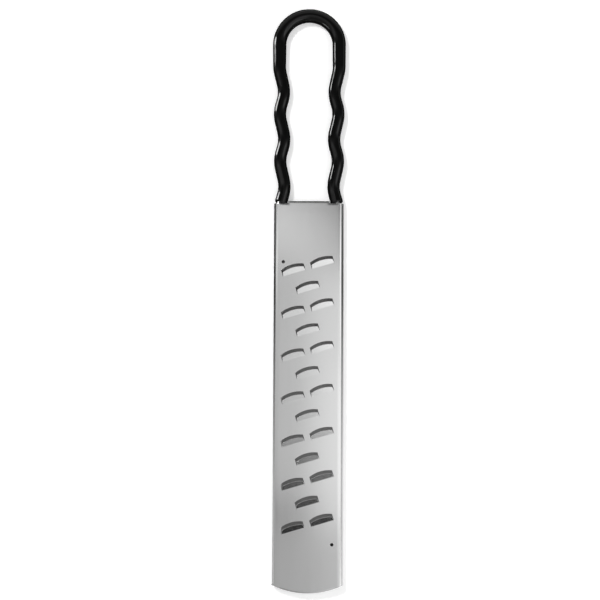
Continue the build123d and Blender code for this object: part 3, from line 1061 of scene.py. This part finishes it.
# %% Dome of light
DOME_LEVEL = 0.35
HANDLE_LEVEL, HANDLE_FROM, HANDLE_FADE = 0.13, 0.15, 0.05
PAST_LEVEL, PAST_FROM, PAST_FADE = 0.65, 0.5, 0.15
TIP_LEVEL, TIP_FROM, TIP_FADE = 0.45, -0.5, 0.15
LOW_FROM, LOW_FADE = 0.45, 0.1
HORIZON_LEVEL, HORIZON_FROM, HORIZON_FADE = 1.0, 0.12, 0.05
world = bpy.data.worlds.new("dome")
bpy.context.scene.world = world
dome = Nodes(world)
direction = dome.add("TexCoord", {}, {}, "Generated")
to_handle = part_along(dome, direction, "Y")
upward = part_along(dome, direction, "Z")


def over_to(level, new_level, share):
    """A level that goes over to a new one as a share rises from 0 to 1."""
    return level + (new_level - level) * share.between(0, 1)


dome_light = over_to(DOME_LEVEL, HANDLE_LEVEL, (to_handle - HANDLE_FROM) / HANDLE_FADE)
dome_light = over_to(dome_light, PAST_LEVEL, (to_handle - PAST_FROM) / PAST_FADE)
low_share = ((LOW_FROM - upward) / LOW_FADE).between(0, 1)
dome_light = over_to(dome_light, TIP_LEVEL, (TIP_FROM - to_handle) / TIP_FADE * low_share)
dome_light = over_to(dome_light, HORIZON_LEVEL, (HORIZON_FROM - upward) / HORIZON_FADE)
background = dome.add("Background", {}, {"Color": (1, 1, 1, 1), "Strength": dome_light})
dome.add("OutputWorld", {}, {"Surface": background})
print("dome level", DOME_LEVEL)

# %% [markdown]
# ## Panels of light
# Level panels hang over the table. The plate mirrors a narrow part of them, and the raised teeth
# mirror their far end towards the tip, so a few panels side by side give the plate its slow
# gradient and make the teeth bright by the handle and dark by the tip. A key lamp throws the
# shadow and isn't mirrored. Small lamps low round the tool do the opposite: they light nothing,
# and only their mirror images draw the thin highlights on the coat and the rolled edges. The
# panels' heights differ by a little, because two that share one plane hide each other.

# %% A lamp of a plain level
WATTS_PER_LEVEL = math.pi


def panel(name, centre, aim, width, length, level):
    """A flat lamp at a centre, turned to an aim point, whose face has a given plain level."""
    data = bpy.data.lights.new(name, "AREA")
    data.shape = "RECTANGLE"
    data.size, data.size_y = width, length
    data.energy = level * width * length * WATTS_PER_LEVEL
    lamp = bpy.data.objects.new(name, data)
    bpy.context.scene.collection.objects.link(lamp)
    lamp.location = centre
    away = Vector(aim) - Vector(centre)
    lamp.rotation_mode = "QUATERNION"
    lamp.rotation_quaternion = away.to_track_quat("-Z", "Y")
    lamp.visible_camera = False
    return lamp


def overhead(name, x_range, y_range, level, height):
    """A level panel over the table, from its ranges in X and Y."""
    x, y = sum(x_range) / 2, sum(y_range) / 2
    width, length = x_range[1] - x_range[0], y_range[1] - y_range[0]
    return panel(name, (x, y, height), (x, y, 0), width, length, level)


print("a panel of one square metre at level 1 takes", round(WATTS_PER_LEVEL, 2), "W")

# %% Panels overhead
PANEL_HEIGHT = 0.7
PANEL_GAP = 0.002
# Each row is a name, a range in X, a range in Y and a level.
OVERHEAD_PANELS = (
    ("near_right_panel", (0.02, 1.2), (-0.16, 0.10), 0.475),
    ("right_panel", (0.04, 1.2), (-0.70, 0.0), 0.277),
    ("left_panel", (-2.5, 0.02), (-0.132, 0.12), 0.348),
    ("left_handle_panel", (-1.2, 0.01), (0.12, 0.185), 0.75),
    ("right_handle_panel", (0.45, 1.2), (0.04, 0.18), 0.577),
    ("broad_panel", (0.0, 2.5), (-0.98, 0.16), 0.287),
    ("tooth_panel", (0.20, 0.30), (-0.80, -0.60), 0.346),
    ("tip_side_panel", (0.30, 2.5), (-0.98, -0.25), 0.991),
    ("left_tip_panel", (-2.5, 0.0), (-0.30, -0.16), 0.216),
    ("last_tooth_panel", (0.20, 0.45), (-0.98, -0.80), 0.182),
)
for order, (name, x_range, y_range, level) in enumerate(OVERHEAD_PANELS):
    overhead(name, x_range, y_range, level, PANEL_HEIGHT + PANEL_GAP * order)
print(len(OVERHEAD_PANELS), "panels overhead")

# %% Key lamp and the lamps of the highlights
KEY_PLACE, KEY_SIDE, KEY_LEVEL = (-0.46, 0.46, 1.02), 0.14, 100.0
key = panel("key_panel", KEY_PLACE, (0, 0, 0), KEY_SIDE, KEY_SIDE, KEY_LEVEL)
key.visible_glossy = False
# Each row is a name, a centre, an aim point, a width, a length and a level.
HIGHLIGHT_LAMPS = (
    ("rim_panel", (-0.476, 0.3085, 0.075), (-0.02, 0.1, 0), 0.104, 0.13, 30.0),
    ("left_strip", (-0.35, 0.105, 0.37), (0, 0.105, 0.37), 0.09, 0.50, 0.3),
    ("right_strip", (0.35, 0.11, 0.42), (0, 0.11, 0.42), 0.08, 0.48, 0.65),
    ("arch_light", (-0.92, -0.60, 0.225), (0.012, 0.16, 0), 0.46, 0.17, 8.0),
)
for lamp_sizes in HIGHLIGHT_LAMPS:
    panel(*lamp_sizes).visible_diffuse = False

# %% Dark card towards the tip
CARD_X, CARD_Y, CARD_Z = (0.05, 0.5), -0.98, (0.36, 0.695)
CARD_LEVEL = 0.01
card_corners = [(CARD_X[i], CARD_Y, CARD_Z[j]) for i, j in ((0, 0), (1, 0), (1, 1), (0, 1))]
dark_card = flat_card("dark_card", card_corners)
card_finish = bpy.data.materials.new("black_card")
card_nodes = Nodes(card_finish)
card_nodes.add("OutputMaterial", {}, {"Surface": glow(card_nodes, CARD_LEVEL)})
dark_card.data.materials.append(card_finish)
for card in (dark_card, dark_sheet, left_flag, right_flag):
    card.visible_camera = False
    card.visible_diffuse = False
    card.visible_shadow = False
print("the last teeth mirror a dark card", -CARD_Y, "m away")

# %% [markdown]
# ## The camera
# The photograph was taken from almost straight above, a metre away and a little towards the tip.
# The lens follows from that distance and from how many pixels a millimetre of the plate takes.

# %% Camera
CAMERA_DISTANCE = 1.0
CAMERA_TILT = math.radians(5.7)
CAMERA_ROLL = math.radians(0.234)
PIXELS_PER_RADIAN = 1683
IMAGE_SIDE = 600
SENSOR = 36.0
IMAGE_MIDDLE = (-5.1 * MM, -2.6 * MM)
looked_at = Vector((*IMAGE_MIDDLE, PLATE_Z))
back = Vector((0, -math.sin(CAMERA_TILT), math.cos(CAMERA_TILT)))
lean = Vector((-math.sin(CAMERA_ROLL), math.cos(CAMERA_ROLL), 0))
right = lean.cross(back).normalized()
camera_data = bpy.data.cameras.new("camera")
camera_data.sensor_width = SENSOR
camera_data.lens = PIXELS_PER_RADIAN * SENSOR / IMAGE_SIDE
camera = bpy.data.objects.new("camera", camera_data)
bpy.context.scene.collection.objects.link(camera)
axes = Matrix((right, back.cross(right), back)).transposed()
camera.matrix_world = Matrix.Translation(looked_at + CAMERA_DISTANCE * back) @ axes.to_4x4()
bpy.context.scene.camera = camera
print("lens", round(camera_data.lens, 1), "mm")

# %% [markdown]
# The Standard view shows colours as they are written, where others bend them. The sizes of the packed
# box and of the finished pieces are printed side by side.

bpy.context.scene.view_settings.view_transform = "Standard"
made_low, made_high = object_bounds()
sizes = {
    "cad": [list(cad_low), list(cad_high)],
    "visual": [list(made_low), list(made_high)],
}
for box_name, box_corners in sizes.items():
    print(box_name, np.round(np.array(box_corners) / MM, 2).tolist())
